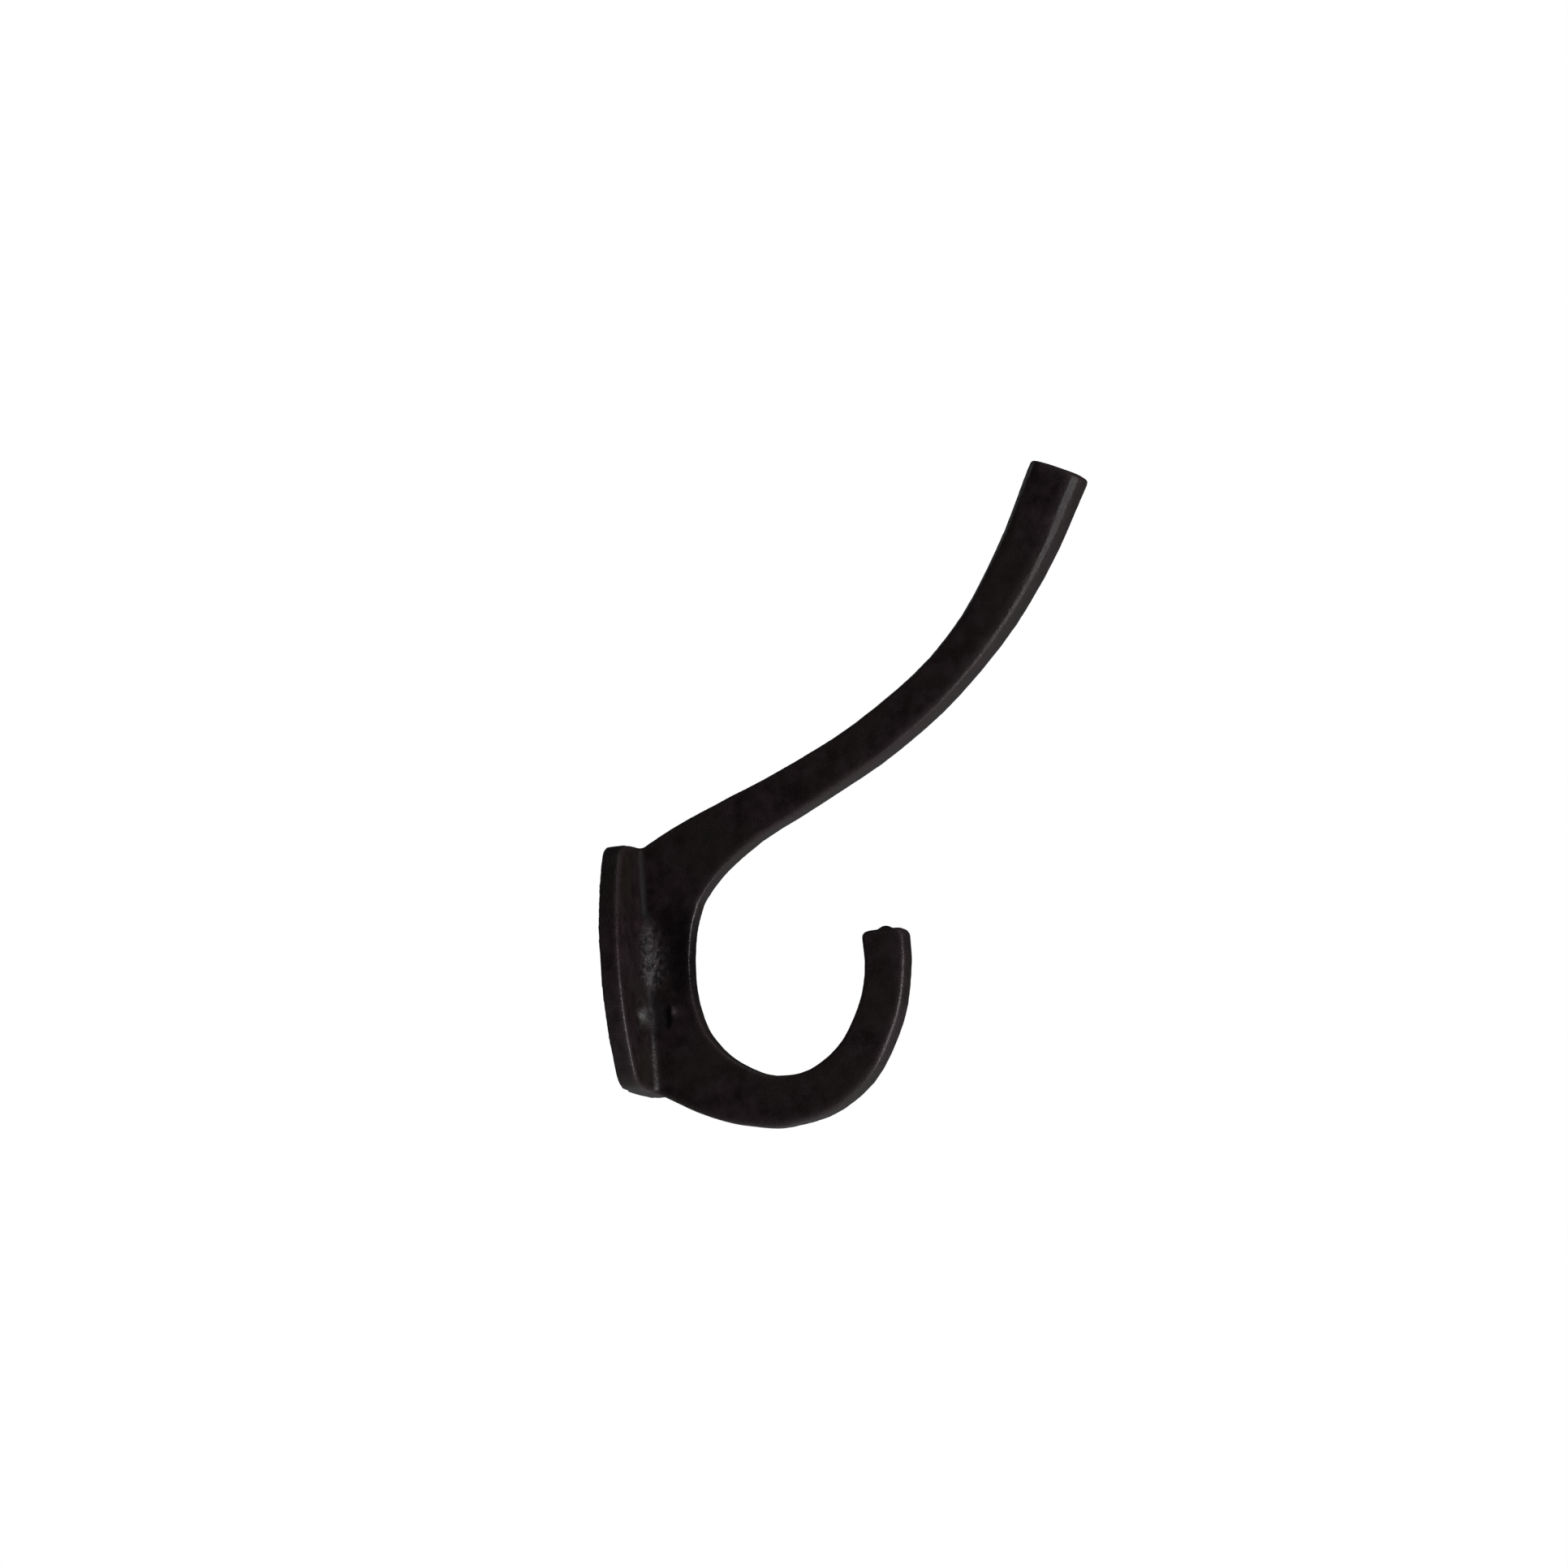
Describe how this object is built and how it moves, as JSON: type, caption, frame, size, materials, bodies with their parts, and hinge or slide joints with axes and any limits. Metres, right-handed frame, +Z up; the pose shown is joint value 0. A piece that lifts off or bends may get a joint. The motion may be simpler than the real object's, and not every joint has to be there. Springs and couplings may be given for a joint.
{
  "type": "hat and coat hook",
  "caption": "Cast iron wall hook with a long curved hat prong above a bent coat prong, on an oval plate with countersunk screw holes.",
  "frame": {"origin": "centre of the plate's back face, which lies on the wall", "axes": "+Z up the wall, +Y into the wall so that the hook projects towards -Y, +X across the hook"},
  "size_m": [0.0332, 0.091, 0.1134],
  "materials": {
    "black_iron": "sand-cast grey iron under a thin satin black lacquer, slightly warm, finely pitted, with the arrises rounded and a little brighter"
  },
  "bodies": {
    "root": {"back_plate": "black_iron", "web": "black_iron", "hat_prong": "black_iron", "coat_prong": "black_iron"}
  },
  "joints": []
}
